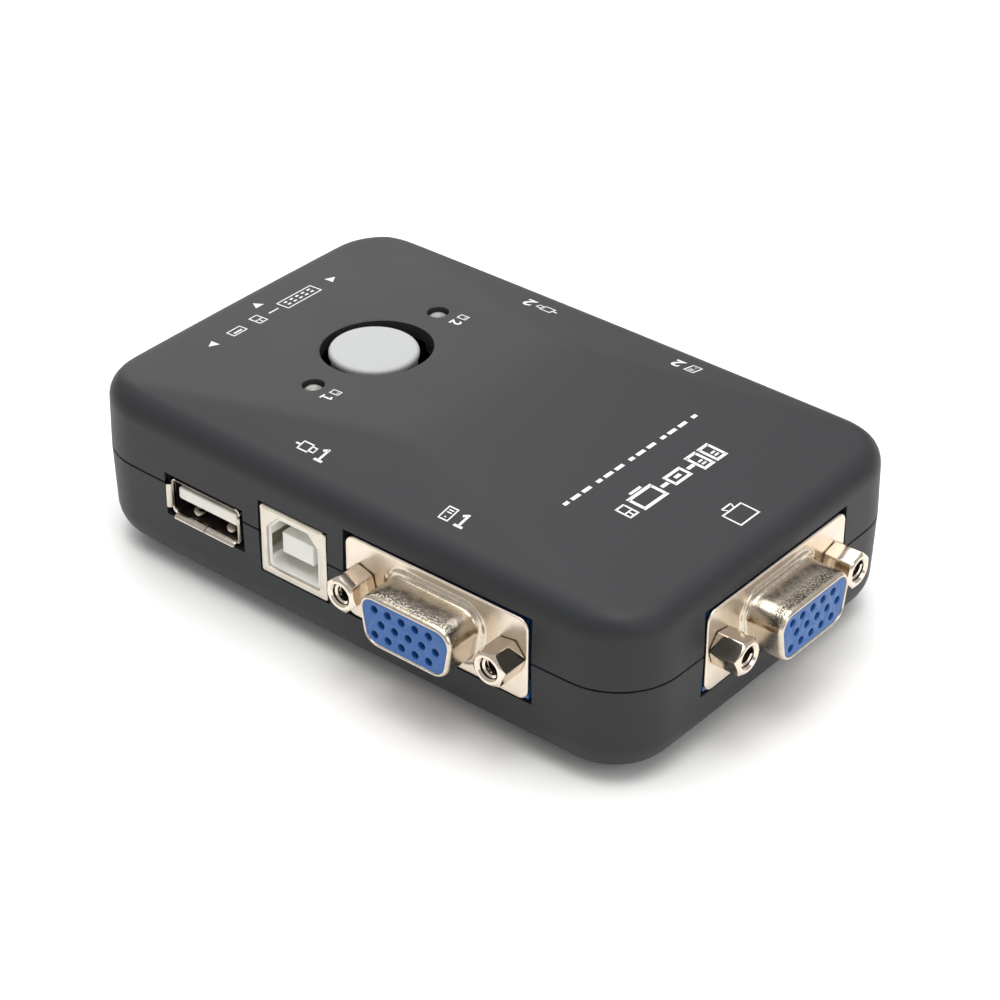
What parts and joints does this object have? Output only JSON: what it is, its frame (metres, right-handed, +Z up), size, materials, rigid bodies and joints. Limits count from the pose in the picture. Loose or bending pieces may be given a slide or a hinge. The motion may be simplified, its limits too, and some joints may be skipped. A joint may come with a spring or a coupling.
{
  "type": "kvm switch",
  "caption": "Small desktop KVM switch: black rounded case, roof push button between lamps, monitor and computer video sockets with jackscrews, USB sockets on three sides.",
  "frame": {"origin": "on the table, under the middle of the whole object", "axes": "+X along the case towards the monitor socket, +Y from the near long side to the far one, +Z up"},
  "size_m": [0.1039, 0.0746, 0.0284],
  "materials": {
    "case_black": "fine matte moulded texture",
    "button_grey": "satin moulded",
    "lamp_clear": "clear domed resin",
    "nickel_plate": "warm nickel plate",
    "socket_steel": "tin plated sheet",
    "vga_blue": "satin moulded",
    "usb_white": "satin moulded",
    "contact_gold": "plated",
    "board_green": "solder resist",
    "chip_black": "moulded",
    "switch_black": "moulded",
    "tinned_lead": "bright tin",
    "can_aluminium": "satin",
    "resistor_body": "glazed",
    "capacitor_body": "ceramic",
    "screw_steel": "zinc plated",
    "foot_rubber": "matte"
  },
  "bodies": {
    "case": {"bottom_cover": "case_black", "case_screws": "screw_steel", "chip_capacitors": "capacitor_body", "chip_leads": "tinned_lead", "chip_resistors": "resistor_body", "crystal": "can_aluminium", "electrolytic_capacitors": "can_aluminium", "header_pins": "contact_gold", "header_strips": "chip_black", "led_1": "lamp_clear", "led_2": "lamp_clear", "led_leads": "tinned_lead", "main_board": "board_green", "main_board_screws": "screw_steel", "rubber_feet": "foot_rubber", "switch_board": "board_green", "switch_board_screws": "screw_steel", "switch_body": "switch_black", "switch_cover_plate": "socket_steel", "switch_dome": "contact_gold", "switch_terminals": "tinned_lead", "top_cover": "case_black", "usb_a_end_contacts": "contact_gold", "usb_a_end_shell": "socket_steel", "usb_a_end_tongue": "usb_white", "usb_a_far_contacts": "contact_gold", "usb_a_far_shell": "socket_steel", "usb_a_far_tongue": "usb_white", "usb_a_near_contacts": "contact_gold", "usb_a_near_shell": "socket_steel", "usb_a_near_tongue": "usb_white", "usb_b_far_contacts": "contact_gold", "usb_b_far_insulator": "usb_white", "usb_b_far_shell": "socket_steel", "usb_b_near_contacts": "contact_gold", "usb_b_near_insulator": "usb_white", "usb_b_near_shell": "socket_steel", "usb_controller_chip": "chip_black", "vga_far_brackets": "socket_steel", "vga_far_contacts": "contact_gold", "vga_far_insulator": "vga_blue", "vga_far_jackscrews": "nickel_plate", "vga_far_shell": "nickel_plate", "vga_monitor_brackets": "socket_steel", "vga_monitor_contacts": "contact_gold", "vga_monitor_insulator": "vga_blue", "vga_monitor_jackscrews": "nickel_plate", "vga_monitor_shell": "nickel_plate", "vga_near_brackets": "socket_steel", "vga_near_contacts": "contact_gold", "vga_near_insulator": "vga_blue", "vga_near_jackscrews": "nickel_plate", "vga_near_shell": "nickel_plate", "video_switch_chips": "chip_black"},
    "button": {"button_cap": "button_grey", "switch_plunger": "usb_white"}
  },
  "joints": [
    {"name": "button_press", "type": "slide", "parent": "case", "child": "button", "axis": [0, 0, -1], "range_m": [0, 0.0005], "stiffness_N_per_m": 1500, "springref_m": -0.0004}
  ]
}
